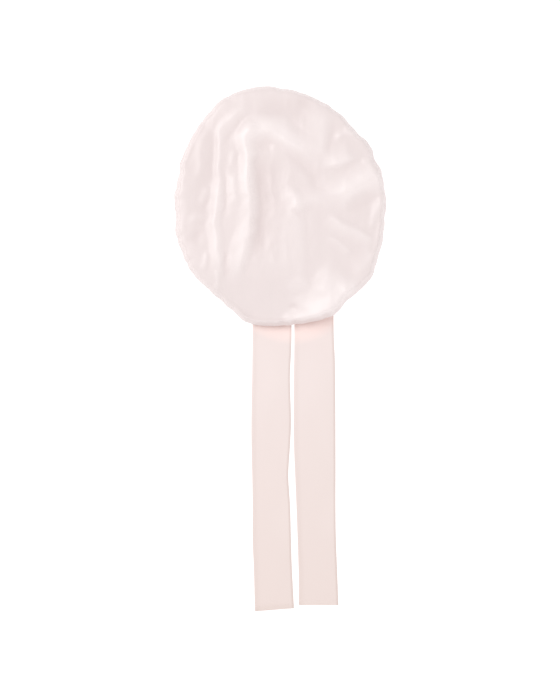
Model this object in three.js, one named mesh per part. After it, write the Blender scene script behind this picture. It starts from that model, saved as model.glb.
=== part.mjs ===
// A satin nightcap that lies on its elastic opening: a puffed crown gathered into an elastic band, and two flat
// ribbon ties that leave from under the crown. Millimetres, +Z up, +Y from the ties towards the top of the crown.
import * as THREE from 'three';

// Crown
const crownWidth = 274;
const crownLength = 308;
const crownHeight = 32;
const rimHeight = 9.5;
const rimRoll = 9;
const clothThickness = 1.2;
const gatherDepth = 4.5;
const gatherCount = 21;

// Elastic band in its casing, round the opening for the head
const openingWidth = 150;
const openingLength = 172;
const openingShift = 16.6;
const bandWidth = 15;
const bandThickness = 3.6;
const bandPucker = 1.4;
const bandChamfer = 1;

// Ribbon ties
const ribbonWidth = 50.7;
const ribbonThickness = 1.2;
const leftTieLength = 436;
const rightTieLength = 430;
const tieGap = 4.6;

// Gap between pieces that touch, and how far the cloth lifts clear on each side of the ties
const clearance = 0.3;
const liftMargin = 10;
const liftBlend = 16;

// How finely the cloth is faceted: rings from the middle of the crown to its rim, points in the innermost ring and
// at the rim, and steps round the band
const crownRings = 21;
const innerRingCount = 6;
const rimCount = innerRingCount * crownRings;
const bandFacetCount = 4 * gatherCount;

// Upper side of the crown from its middle to its rim: share of the crown's radius, share of its height
const domeProfile = [
  { radius: 0.0, height: 1.0 },
  { radius: 0.4, height: 0.99 },
  { radius: 0.7, height: 0.93 },
  { radius: 0.86, height: 0.82 },
  { radius: 0.94, height: 0.68 },
  { radius: 0.98, height: 0.5 },
];

// Underside of the crown from its rim to the band: share of the way in, and how full the gathers are there
const undersideRows = [
  { share: 0.04, gather: 0 },
  { share: 0.12, gather: 0.03 },
  { share: 0.28, gather: 0.29 },
  { share: 0.46, gather: 0.69 },
  { share: 0.64, gather: 0.97 },
  { share: 0.82, gather: 0.75 },
  { share: 1, gather: 0.3 },
];

// The cloth's free edge rises from the floor to the middle of the band over this last share of the underside
const edgeRiseStart = 0.6;

// The crown's outline as it lies: bearing in degrees, anticlockwise from +X, and share of the plain oval's radius
const outline = [
  { bearing: 0, share: 1.005 },
  { bearing: 10, share: 0.995 },
  { bearing: 20, share: 1.0 },
  { bearing: 26, share: 0.986 },
  { bearing: 35, share: 0.993 },
  { bearing: 45, share: 0.957 },
  { bearing: 60, share: 0.965 },
  { bearing: 75, share: 0.972 },
  { bearing: 90, share: 0.998 },
  { bearing: 101, share: 1.026 },
  { bearing: 115, share: 1.051 },
  { bearing: 126, share: 1.041 },
  { bearing: 140, share: 1.003 },
  { bearing: 155, share: 1.0 },
  { bearing: 161, share: 0.978 },
  { bearing: 175, share: 1.002 },
  { bearing: 185, share: 0.987 },
  { bearing: 195, share: 1.005 },
  { bearing: 215, share: 0.986 },
  { bearing: 226, share: 0.966 },
  { bearing: 244, share: 0.972 },
  { bearing: 255, share: 1.02 },
  { bearing: 267, share: 1.0 },
  { bearing: 280, share: 1.003 },
  { bearing: 296, share: 1.034 },
  { bearing: 305, share: 1.0 },
  { bearing: 320, share: 1.046 },
  { bearing: 331, share: 1.02 },
  { bearing: 345, share: 1.004 },
  { bearing: 355, share: 0.986 },
];

// Folds of the crown. A path runs upwards or to the right over its crest, in shares of the crown's half width and
// half length. Height is a share of the crown's height, and a dent's is negative. The upper left and lower right
// sides fall away over their own shares of the crown's half width. A crisp fold has a sharper crest.
const folds = [
  {
    name: 'left trough', height: -0.07, upperLeft: 0.1, lowerRight: 0.16, crisp: 0.1,
    path: [[-0.85, -0.46], [-0.87, -0.24], [-0.87, 0.02], [-0.83, 0.26], [-0.76, 0.48], [-0.64, 0.65]],
  },
  {
    name: 'outer left ridge', height: 0.14, upperLeft: 0.08, lowerRight: 0.11, crisp: 0.4,
    path: [[-0.64, -0.7], [-0.6, -0.53], [-0.58, -0.3], [-0.61, -0.06], [-0.59, 0.18], [-0.56, 0.4],
      [-0.56, 0.62], [-0.46, 0.74], [-0.27, 0.87]],
  },
  {
    name: 'inner left ridge', height: 0.21, upperLeft: 0.13, lowerRight: 0.14, crisp: 0.45,
    path: [[-0.47, -0.7], [-0.43, -0.55], [-0.36, -0.41], [-0.3, -0.26], [-0.29, -0.03], [-0.3, 0.19],
      [-0.31, 0.4], [-0.32, 0.55], [-0.22, 0.69]],
  },
  {
    name: 'arch', height: 0.17, upperLeft: 0.11, lowerRight: 0.12, crisp: 0.5,
    path: [[-0.33, 0.48], [-0.28, 0.59], [-0.19, 0.64], [-0.08, 0.63], [0.04, 0.57], [0.16, 0.49],
      [0.3, 0.37]],
  },
  {
    name: 'hollow under the arch', height: -0.14, upperLeft: 0.13, lowerRight: 0.15, crisp: 0,
    path: [[-0.21, 0.14], [-0.23, 0.33], [-0.21, 0.48], [-0.13, 0.55]],
  },
  {
    name: 'middle panel', height: 0.19, upperLeft: 0.32, lowerRight: 0.12, crisp: 0.6,
    path: [[0.17, -0.7], [0.19, -0.51], [0.19, -0.33], [0.18, -0.16], [0.12, -0.01], [0.05, 0.14]],
  },
  {
    name: 'star arm', height: 0.09, upperLeft: 0.1, lowerRight: 0.08, crisp: 0.4,
    path: [[0.09, 0.03], [0.23, 0.07], [0.36, 0.07], [0.49, -0.02]],
  },
  {
    name: 'upper right panel', height: 0.14, upperLeft: 0.22, lowerRight: 0.07, crisp: 0.6,
    path: [[0.31, 0.4], [0.37, 0.55], [0.42, 0.67], [0.47, 0.82]],
  },
  {
    name: 'crease below panel', height: -0.07, upperLeft: 0.06, lowerRight: 0.07, crisp: 0.2,
    path: [[0.45, 0.14], [0.43, 0.35], [0.44, 0.57], [0.5, 0.77]],
  },
  {
    name: 'upper right ridge', height: 0.11, upperLeft: 0.08, lowerRight: 0.11, crisp: 0.3,
    path: [[0.43, 0.37], [0.51, 0.43], [0.61, 0.46], [0.74, 0.47]],
  },
  {
    name: 'right ridge', height: 0.13, upperLeft: 0.15, lowerRight: 0.12, crisp: 0.35,
    path: [[0.49, 0.08], [0.61, 0.18], [0.7, 0.25], [0.82, 0.3], [0.95, 0.3]],
  },
  {
    name: 'right hollow', height: -0.06, upperLeft: 0.12, lowerRight: 0.16, crisp: 0,
    path: [[0.63, -0.04], [0.76, 0.06], [0.89, 0.14]],
  },
  {
    name: 'right crease', height: 0.08, upperLeft: 0.07, lowerRight: 0.08, crisp: 0.5,
    path: [[0.44, -0.03], [0.59, -0.14], [0.74, -0.21], [0.92, -0.3]],
  },
  {
    name: 'lower right lump', height: 0.11, upperLeft: 0.12, lowerRight: 0.09, crisp: 0.3,
    path: [[0.59, -0.77], [0.66, -0.65], [0.74, -0.5]],
  },
  {
    name: 'lower right swell', height: 0.12, upperLeft: 0.19, lowerRight: 0.12, crisp: 0.25,
    path: [[0.28, -0.92], [0.38, -0.78], [0.43, -0.65], [0.45, -0.46]],
  },
  {
    name: 'lip lump', height: 0.07, upperLeft: 0.07, lowerRight: 0.06, crisp: 0.3,
    path: [[0, -0.94], [0.13, -0.93], [0.27, -0.91]],
  },
];

// Each fold rises from nothing over this share of its path at both ends, and all fade out from this share of the
// crown's radius to its rim. The lift over the ties spreads up the side from another share of the radius.
const foldEnds = 0.25;
const foldFade = 0.88;
const liftFade = 0.7;

// A tie's edges as it lies: share of its length from the band, sideways shift and width as shares of the ribbon's
const leftTieRows = [
  { along: 0, shift: 0, width: 1 },
  { along: 0.18, shift: 0.012, width: 1 },
  { along: 0.3, shift: -0.012, width: 0.967 },
  { along: 0.43, shift: -0.008, width: 1.015 },
  { along: 0.51, shift: -0.023, width: 0.987 },
  { along: 0.58, shift: -0.037, width: 0.936 },
  { along: 0.62, shift: -0.03, width: 0.93 },
  { along: 0.69, shift: -0.006, width: 0.96 },
  { along: 0.8, shift: 0.008, width: 0.987 },
  { along: 0.87, shift: 0.03, width: 0.975 },
  { along: 1, shift: 0.074, width: 1 },
];
const rightTieRows = [
  { along: 0, shift: 0, width: 1 },
  { along: 0.2, shift: 0, width: 1.01 },
  { along: 0.3, shift: 0.01, width: 1.056 },
  { along: 0.48, shift: 0.014, width: 1.07 },
  { along: 0.62, shift: 0.037, width: 1.03 },
  { along: 0.7, shift: 0.05, width: 1 },
  { along: 0.8, shift: 0.07, width: 0.98 },
  { along: 0.92, shift: 0.105, width: 0.99 },
  { along: 1, shift: 0.115, width: 1.02 },
];
const tieColumns = 4;

// How far the free end's right corner lies beyond its left one, as a share of the ribbon's width
const leftTieSlant = 0.08;
const rightTieSlant = 0;

const { degToRad, lerp, smoothstep } = THREE.MathUtils;

// A closed body from one sheet of triangles, its other side, and the edge where the two meet
function sheetBody(front, back, triangles, edge) {
  const positions = [...front, ...back].flatMap((point) => point.toArray());
  const index = [];
  for (const [a, b, c] of triangles) {
    index.push(a, b, c);
    index.push(a + front.length, c + front.length, b + front.length);
  }
  edge.forEach((here, step) => {
    const there = edge[(step + 1) % edge.length];
    index.push(there, here, here + front.length);
    index.push(there, here + front.length, there + front.length);
  });
  return indexedGeometry(positions, index);
}

function indexedGeometry(positions, index) {
  const geometry = new THREE.BufferGeometry();
  geometry.setAttribute('position', new THREE.Float32BufferAttribute(positions, 3));
  geometry.setIndex(index);
  geometry.computeVertexNormals();
  return geometry;
}

// Outline of the crown in plan: a smooth closed curve through the outline table
const outlineCurve = new THREE.CatmullRomCurve3(outline.map(({ bearing, share }) => {
  const angle = degToRad(bearing);
  const across = Math.cos(angle) / (crownWidth / 2);
  const up = Math.sin(angle) / (crownLength / 2);
  const radius = share / Math.hypot(across, up);
  return new THREE.Vector3(radius * Math.cos(angle), radius * Math.sin(angle), 0);
}), true);
const roundingSlack = 1e-6;
const rimPoints = outlineCurve.getSpacedPoints(rimCount);

function rimPoint(turn) {
  const place = turn * rimCount;
  const before = Math.floor(place + roundingSlack);
  const here = rimPoints[before % rimCount];
  const next = rimPoints[before % rimCount + 1];
  return here.clone().lerp(next, Math.max(place - before, 0));
}

// The band's middle line is an oval. "out" is the distance outside it.
function bandPoint(turn, out) {
  const angle = 2 * Math.PI * turn;
  const halfWidth = openingWidth / 2 + bandWidth / 2 + out;
  const halfLength = openingLength / 2 + bandWidth / 2 + out;
  return new THREE.Vector3(openingShift + halfWidth * Math.cos(angle), halfLength * Math.sin(angle), 0);
}

// Where the band's middle line passes a given x on the ties' side. Past its side it stays near the widest place.
const sewnLimit = 0.98;

function sewnLine(x) {
  const halfWidth = openingWidth / 2 + bandWidth / 2;
  const halfLength = openingLength / 2 + bandWidth / 2;
  const share = Math.min(Math.abs(x - openingShift) / halfWidth, sewnLimit);
  return -halfLength * Math.sqrt(1 - share * share);
}

// The cloth and the band lift over the ties
const tiesHalfWidth = ribbonWidth + tieGap / 2;
const tiesTop = sewnLine(openingShift + tiesHalfWidth);

function tieLift(x, y) {
  const side = Math.abs(x - openingShift) - tiesHalfWidth - liftMargin;
  const above = y - tiesTop - liftMargin;
  const sideShare = 1 - smoothstep(side, 0, liftBlend);
  const aboveShare = 1 - smoothstep(above, 0, liftBlend);
  return (ribbonThickness + clearance) * sideShare * aboveShare;
}

// Height that the folds add to the crown at a place in plan
const crestSteps = 4;
const foldCrests = folds.map((fold) => {
  const points = fold.path.map(([x, y]) => new THREE.Vector3(x * crownWidth / 2, y * crownLength / 2, 0));
  return new THREE.CatmullRomCurve3(points).getPoints(crestSteps * points.length);
});

function foldProfile(distance, width, crisp) {
  const share = Math.min(distance / width, 1);
  const round = Math.cos(share * Math.PI / 2) ** 2;
  return lerp(round, (1 - share) ** 2, crisp);
}

function foldHeight(place) {
  let height = 0;
  folds.forEach((fold, number) => {
    const crest = foldCrests[number];
    let nearest = Infinity;
    let along = 0;
    let side = 0;
    for (let step = 1; step < crest.length; step += 1) {
      const piece = new THREE.Line3(crest[step - 1], crest[step]);
      const share = piece.closestPointToPointParameter(place, true);
      const offset = place.clone().sub(piece.at(share, new THREE.Vector3()));
      if (offset.length() < nearest) {
        nearest = offset.length();
        along = (step - 1 + share) / (crest.length - 1);
        side = piece.delta(new THREE.Vector3()).cross(offset).z;
      }
    }
    const width = (side > 0 ? fold.upperLeft : fold.lowerRight) * crownWidth / 2;
    const ends = smoothstep(Math.min(along, 1 - along), 0, foldEnds);
    height += fold.height * crownHeight * ends * foldProfile(nearest, width, fold.crisp);
  });
  return height;
}

// Crown: rings of points from its middle over the rim and in underneath to the band
const meanRadius = (crownWidth + crownLength) / 4;
const domeCurve = new THREE.CatmullRomCurve3([
  ...domeProfile.map((row) => new THREE.Vector3(row.radius * meanRadius, 0, row.height * crownHeight)),
  new THREE.Vector3(meanRadius, 0, rimHeight),
]);

function topPoint(ring, turn) {
  const profile = domeCurve.getPointAt(ring / crownRings);
  const share = profile.x / meanRadius;
  const place = rimPoint(turn).multiplyScalar(share);
  const foldShare = 1 - smoothstep(share, foldFade, 1);
  const liftShare = smoothstep(share, liftFade, 1);
  place.z = profile.z + foldShare * foldHeight(place) + liftShare * tieLift(place.x, place.y);
  return place;
}

function undersidePoint({ share, gather }, turn) {
  const rim = rimPoint(turn);
  const edge = bandPoint(turn, bandWidth / 2 + clearance);
  const inwards = share * rim.distanceTo(edge);
  const place = rim.lerp(edge, share);
  const curl = 1 - Math.min(inwards / rimRoll, 1);
  const roll = rimHeight * (1 - Math.sqrt(1 - curl * curl));
  const ripple = gatherDepth * gather * (1 + Math.cos(2 * Math.PI * gatherCount * turn)) / 2;
  const edgeRise = (bandThickness - clothThickness) / 2 * smoothstep(share, edgeRiseStart, 1);
  place.z = roll + ripple + edgeRise + tieLift(place.x, place.y);
  return place;
}

function crownGeometry() {
  const points = [new THREE.Vector3(0, 0, domeProfile[0].height * crownHeight)];
  points[0].z += foldHeight(points[0].clone().setZ(0));
  const triangles = [];
  let previous = [0];
  for (let ring = 1; ring <= crownRings; ring += 1) {
    const count = innerRingCount * ring;
    const current = [];
    for (let step = 0; step < count; step += 1) {
      current.push(points.length);
      points.push(topPoint(ring, step / count));
    }
    for (let sector = 0; sector < innerRingCount; sector += 1) {
      for (let step = 0; step < ring; step += 1) {
        const outer = sector * ring + step;
        const inner = sector * (ring - 1) + step;
        const innerHere = previous[inner % previous.length];
        triangles.push([innerHere, current[outer], current[(outer + 1) % count]]);
        if (step < ring - 1) {
          triangles.push([innerHere, current[outer + 1], previous[(inner + 1) % previous.length]]);
        }
      }
    }
    previous = current;
  }
  for (const row of undersideRows) {
    const count = previous.length;
    const current = previous.map((point, step) => points.push(undersidePoint(row, step / count)) - 1);
    for (let step = 0; step < count; step += 1) {
      const next = (step + 1) % count;
      triangles.push([previous[step], current[step], current[next]]);
      triangles.push([previous[step], current[next], previous[next]]);
    }
    previous = current;
  }
  const outside = indexedGeometry(points.flatMap((point) => point.toArray()), triangles.flat());
  const normals = outside.getAttribute('normal');
  const inside = points.map((point, number) => {
    const normal = new THREE.Vector3().fromBufferAttribute(normals, number);
    return point.clone().addScaledVector(normal, -clothThickness);
  });
  return sheetBody(points, inside, triangles, previous);
}

// Band: a flat casing drawn in by its elastic, with a pucker at each gather
function bandGeometry() {
  const positions = [];
  const index = [];
  for (let step = 0; step < bandFacetCount; step += 1) {
    const turn = step / bandFacetCount;
    const pucker = bandPucker * (1 - Math.cos(2 * Math.PI * gatherCount * turn)) / 2;
    const inner = -bandWidth / 2 + pucker;
    const outer = bandWidth / 2;
    const top = bandThickness - pucker / 2;
    const section = [
      [inner, bandChamfer],
      [inner + bandChamfer, 0],
      [outer - bandChamfer, 0],
      [outer, bandChamfer],
      [outer, top - bandChamfer],
      [outer - bandChamfer, top],
      [inner + bandChamfer, top],
      [inner, top - bandChamfer],
    ];
    const middle = bandPoint(turn, 0);
    const lift = tieLift(middle.x, middle.y);
    const sections = section.length;
    for (const [out, height] of section) {
      const place = bandPoint(turn, out);
      positions.push(place.x, place.y, height + lift);
    }
    for (let side = 0; side < sections; side += 1) {
      const here = step * sections + side;
      const above = step * sections + (side + 1) % sections;
      const ahead = ((step + 1) % bandFacetCount) * sections;
      index.push(here, ahead + side, ahead + (side + 1) % sections);
      index.push(here, ahead + (side + 1) % sections, above);
    }
  }
  return indexedGeometry(positions, index);
}

// Tie: a flat ribbon, sewn along the band's middle line and cut at its free end
function tieGeometry(middleX, length, rows, slant) {
  const freeEnd = sewnLine(middleX) - length;
  const bottom = [];
  for (const { along, shift, width } of rows) {
    for (let column = 0; column < tieColumns; column += 1) {
      const across = column / (tieColumns - 1) - 0.5;
      const x = middleX + ribbonWidth * (shift + across * width);
      const end = freeEnd + slant * across * ribbonWidth;
      bottom.push(new THREE.Vector3(x, lerp(sewnLine(x), end, along), 0));
    }
  }
  const top = bottom.map((point) => point.clone().setZ(ribbonThickness));
  const triangles = [];
  const leftSide = [];
  const rightSide = [];
  for (let row = 0; row < rows.length; row += 1) {
    leftSide.push(row * tieColumns);
    rightSide.unshift(row * tieColumns + tieColumns - 1);
    for (let column = 0; row + 1 < rows.length && column + 1 < tieColumns; column += 1) {
      const here = row * tieColumns + column;
      const below = here + tieColumns;
      triangles.push([here, below, below + 1]);
      triangles.push([here, below + 1, here + 1]);
    }
  }
  const inner = Array.from({ length: tieColumns - 2 }, (_, column) => column + 1);
  const freeSide = inner.map((column) => (rows.length - 1) * tieColumns + column);
  const sewnSide = inner.slice().reverse();
  return sheetBody(top, bottom, triangles, [...leftSide, ...freeSide, ...rightSide, ...sewnSide]);
}

const satin = new THREE.MeshStandardMaterial({ color: 0xf3e7e4, roughness: 0.35, metalness: 0 });
const casing = new THREE.MeshStandardMaterial({ color: 0xefe0dd, roughness: 0.45, metalness: 0 });
const ribbon = new THREE.MeshStandardMaterial({ color: 0xf2e2df, roughness: 0.5, metalness: 0 });

const cap = new THREE.Group();

function addPiece(name, geometry, material) {
  const piece = new THREE.Mesh(geometry, material);
  piece.name = name;
  cap.add(piece);
}

const tieSpacing = ribbonWidth + tieGap;
addPiece('crown', crownGeometry(), satin);
addPiece('band', bandGeometry(), casing);
addPiece(
  'tie_left',
  tieGeometry(openingShift - tieSpacing / 2, leftTieLength, leftTieRows, leftTieSlant),
  ribbon,
);
addPiece(
  'tie_right',
  tieGeometry(openingShift + tieSpacing / 2, rightTieLength, rightTieRows, rightTieSlant),
  ribbon,
);

// The origin is under the middle of the whole cap, on the surface that it lies on
const bounds = new THREE.Box3().setFromObject(cap);
const middle = bounds.getCenter(new THREE.Vector3());
cap.position.set(-middle.x, -middle.y, -bounds.min.z);

export default cap;
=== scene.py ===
# %% [markdown]
# # A satin nightcap with ribbon ties
# The cap is a round of pale blush satin, gathered onto an elastic band, with two flat ribbons sewn to the
# band. It lies on its opening, the puffed crown up, and the ribbons lie flat in front of it. The packed
# model fixes sizes and places. The band's box is read from it, and its other driving sizes are repeated
# here in metres. This script only makes the looks: cloth, folds, hems and light.

# %% Load the fixed frame
from collections import namedtuple
from math import pi, radians

import bmesh
import bpy
import numpy as np
from mathutils import Matrix, Vector


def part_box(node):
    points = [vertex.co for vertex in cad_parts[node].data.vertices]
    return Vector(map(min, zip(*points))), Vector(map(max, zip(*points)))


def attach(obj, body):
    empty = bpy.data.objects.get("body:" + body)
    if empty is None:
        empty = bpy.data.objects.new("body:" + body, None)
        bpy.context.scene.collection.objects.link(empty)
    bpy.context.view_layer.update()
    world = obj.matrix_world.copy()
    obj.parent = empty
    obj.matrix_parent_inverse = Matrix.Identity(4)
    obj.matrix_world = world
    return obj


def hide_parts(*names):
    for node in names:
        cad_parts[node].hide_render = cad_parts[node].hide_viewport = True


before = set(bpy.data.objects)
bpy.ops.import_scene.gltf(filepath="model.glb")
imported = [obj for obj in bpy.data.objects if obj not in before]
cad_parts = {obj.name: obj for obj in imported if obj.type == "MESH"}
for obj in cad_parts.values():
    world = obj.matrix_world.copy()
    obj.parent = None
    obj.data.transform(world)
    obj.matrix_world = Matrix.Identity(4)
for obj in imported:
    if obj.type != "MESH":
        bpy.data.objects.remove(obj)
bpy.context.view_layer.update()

# %% [markdown]
# ## Where things are
# The crown is drawn about its own middle. The middle of its box is no use for that, because its outline
# is uneven. The band is an even oval, so the middle of its box is exact, and the crown's middle lies a
# known step to the left. The folds were read from the photo, so their places are written as the
# photo's pixels, each 1.3 mm wide.

# %% Sizes from the imported model, and the crown's middle
MM = 0.001
PIXEL = 1.3 * MM
PHOTO_CROWN_MIDDLE = (280, 207)

OPENING_SHIFT = 16.6 * MM
CROWN_HALF_WIDTH = 137 * MM
CROWN_HALF_LENGTH = 154 * MM
CROWN_HEIGHT = 32 * MM
RIM_HEIGHT = 12 * MM
RIM_ROLL = 12 * MM
BAND_WIDTH = 15 * MM
BAND_THICKNESS = 3.6 * MM
RIBBON_WIDTH = 50.7 * MM
RIBBON_THICKNESS = 1.2 * MM
TIE_GAP = 4.6 * MM
LEFT_TIE_LENGTH = 436 * MM
RIGHT_TIE_LENGTH = 430 * MM

band_low, band_high = (np.array(corner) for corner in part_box("band"))
opening_middle = (band_low + band_high) / 2
crown_middle = opening_middle - (OPENING_SHIFT, 0, 0)
crown_middle[2] = 0
band_half_width, band_half_length = (band_high - band_low)[:2] / 2
print("crown's middle, mm:", np.round(1000 * crown_middle, 1))

# %% [markdown]
# ## Camera
# The photo looks straight down at the cap with a long lens, so the sides of the crown don't show. The
# long side of the picture is 700 pixels, which sets how far up the camera hangs for its lens.

# %% Camera straight above, with the ties towards the bottom of the picture
PHOTO_HEIGHT = 700
LENS = 120
SENSOR = 36
RIM_LEVEL = 8 * MM
CAMERA_X = -0.4 * MM
CAMERA_Y = -0.2 * MM

camera_data = bpy.data.cameras.new("studio_camera")
camera_data.lens = LENS
camera_data.sensor_width = SENSOR
camera = bpy.data.objects.new("studio_camera", camera_data)
bpy.context.scene.collection.objects.link(camera)
camera_height = PHOTO_HEIGHT * PIXEL * LENS / SENSOR + RIM_LEVEL
camera.location = (CAMERA_X, CAMERA_Y, camera_height)
bpy.context.scene.camera = camera
print("camera height, m:", round(camera_height, 3))

# %% [markdown]
# ## Small helpers
# Cloth is shaped here by moving the vertices of a flat mesh with numpy, all at once. A few helpers do the
# sums: an even step from 0 to 1, a smooth curve through a few points, and soft random lumps of a given
# size.

# %% Helpers for shapes
def soft_step(value, low, high):
    share = np.clip((value - low) / (high - low), 0, 1)
    return share * share * (3 - 2 * share)


def smooth_curve(points, samples, closed=False):
    """A Catmull-Rom curve through the points."""
    points = np.asarray(points, dtype=float)
    count = len(points)
    if closed:
        ring = np.concatenate([points[-1:], points, points[:2]])
    else:
        ring = np.concatenate([2 * points[:1] - points[1:2], points, 2 * points[-1:] - points[-2:-1]])
    step = np.linspace(0, 1, samples, endpoint=False)[:, None]
    pieces = []
    for number in range(count if closed else count - 1):
        before, here, there, after = ring[number:number + 4]
        bend = 2 * before - 5 * here + 4 * there - after
        twist = 3 * here - before - 3 * there + after
        pieces.append(here + 0.5 * ((there - before) * step + bend * step ** 2 + twist * step ** 3))
    if not closed:
        pieces.append(points[-1:])
    return np.concatenate(pieces)


LATTICE = 64


def soft_noise(x, y, size, seed):
    """Smooth random heights from -1 to 1, with lumps of about the given size."""
    lattice = np.random.default_rng(seed).uniform(-1, 1, (LATTICE, LATTICE))
    across, up = x / size, y / size
    column, row = np.floor(across).astype(int), np.floor(up).astype(int)
    across, up = across - column, up - row
    across = across ** 3 * (across * (6 * across - 15) + 10)
    up = up ** 3 * (up * (6 * up - 15) + 10)
    left, right = column % LATTICE, (column + 1) % LATTICE
    low, high = row % LATTICE, (row + 1) % LATTICE
    bottom = lattice[left, low] * (1 - across) + lattice[right, low] * across
    top = lattice[left, high] * (1 - across) + lattice[right, high] * across
    return bottom * (1 - up) + top * up


def round_noise(angle, lumps, seed):
    """Smooth random heights round a ring, without a seam."""
    return soft_noise(lumps * np.cos(angle), lumps * np.sin(angle), 1, seed)


print("a soft step half way:", soft_step(0.5, 0, 1))

# %% Helpers for meshes
def vertex_places(mesh):
    return np.array([vertex.co for vertex in mesh.verts])


def move_vertices(mesh, places):
    for vertex, place in zip(mesh.verts, places):
        vertex.co = place


def piece_from(name, mesh):
    """A smooth-shaded object made of a finished bmesh."""
    data = bpy.data.meshes.new(name)
    mesh.to_mesh(data)
    mesh.free()
    data.shade_smooth()
    piece = bpy.data.objects.new(name, data)
    bpy.context.scene.collection.objects.link(piece)
    print(name, "has", len(data.vertices), "vertices")
    return piece


# %% [markdown]
# ## The crown's outline and dome
# The real crown is one round of satin, so it starts here as a flat round cut. The cut is then laid over
# the shape that the crown has in the photo: an uneven oval outline, a low dome, a rolled rim, and an
# underside that runs in to the band. A table holds the outline as shares of a plain oval, so that it
# follows the crown's size.

# %% Outline table: bearing in degrees, anticlockwise from +X, and share of the plain oval's radius
Edge = namedtuple("Edge", "bearing share")
OUTLINE = (
    Edge(0, 1.005), Edge(10, 0.995), Edge(20, 1.0), Edge(26, 0.986), Edge(35, 0.993), Edge(45, 0.957),
    Edge(60, 0.965), Edge(75, 0.972), Edge(90, 0.998), Edge(101, 1.026), Edge(115, 1.051), Edge(126, 1.041),
    Edge(140, 1.015), Edge(155, 1.015), Edge(161, 0.99), Edge(175, 1.002), Edge(185, 0.987), Edge(195, 1.01),
    Edge(215, 1.0), Edge(226, 0.975), Edge(244, 0.975), Edge(255, 1.02), Edge(267, 1.0), Edge(280, 1.003),
    Edge(296, 1.042), Edge(305, 1.01), Edge(320, 1.046), Edge(331, 1.02), Edge(345, 1.004), Edge(355, 0.986),
)
OUTLINE_SAMPLES = 24


def outline_radius(angle):
    """Distance of the crown's rim from its middle, at each bearing."""
    bearing = np.radians([row.bearing for row in OUTLINE])
    oval = 1 / np.hypot(np.cos(bearing) / CROWN_HALF_WIDTH, np.sin(bearing) / CROWN_HALF_LENGTH)
    radius = oval * [row.share for row in OUTLINE]
    corners = np.column_stack([radius * np.cos(bearing), radius * np.sin(bearing)])
    curve = smooth_curve(corners, OUTLINE_SAMPLES, closed=True)
    at = np.arctan2(curve[:, 1], curve[:, 0]) % (2 * pi)
    order = np.argsort(at)
    return np.interp(angle % (2 * pi), at[order], np.hypot(*curve.T)[order], period=2 * pi)


print("rim's distance to the right, mm:", round(float(outline_radius(np.zeros(1))[0] / MM), 1))

# %% Section of the crown from its middle over the dome to the rim
Rise = namedtuple("Rise", "radius height")
DOME = (
    Rise(0.0, 0.98), Rise(0.4, 0.975), Rise(0.7, 0.96), Rise(0.86, 0.94), Rise(0.94, 0.922),
    Rise(0.97, 0.875), Rise(0.987, 0.75), Rise(0.997, 0.54), Rise(1.0, RIM_HEIGHT / CROWN_HEIGHT),
)
DOME_SAMPLES = 30
UNDERSIDE_LENGTH = 54 * MM
mean_radius = (CROWN_HALF_WIDTH + CROWN_HALF_LENGTH) / 2
dome_corners = [(row.radius * mean_radius, row.height * CROWN_HEIGHT) for row in DOME]
dome_line = smooth_curve(dome_corners, DOME_SAMPLES)
dome_travel = np.concatenate([[0], np.cumsum(np.hypot(*np.diff(dome_line, axis=0).T))])
dome_length = dome_travel[-1]
print("over the dome, mm:", round(dome_length / MM), "and under it:", round(UNDERSIDE_LENGTH / MM))
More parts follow.
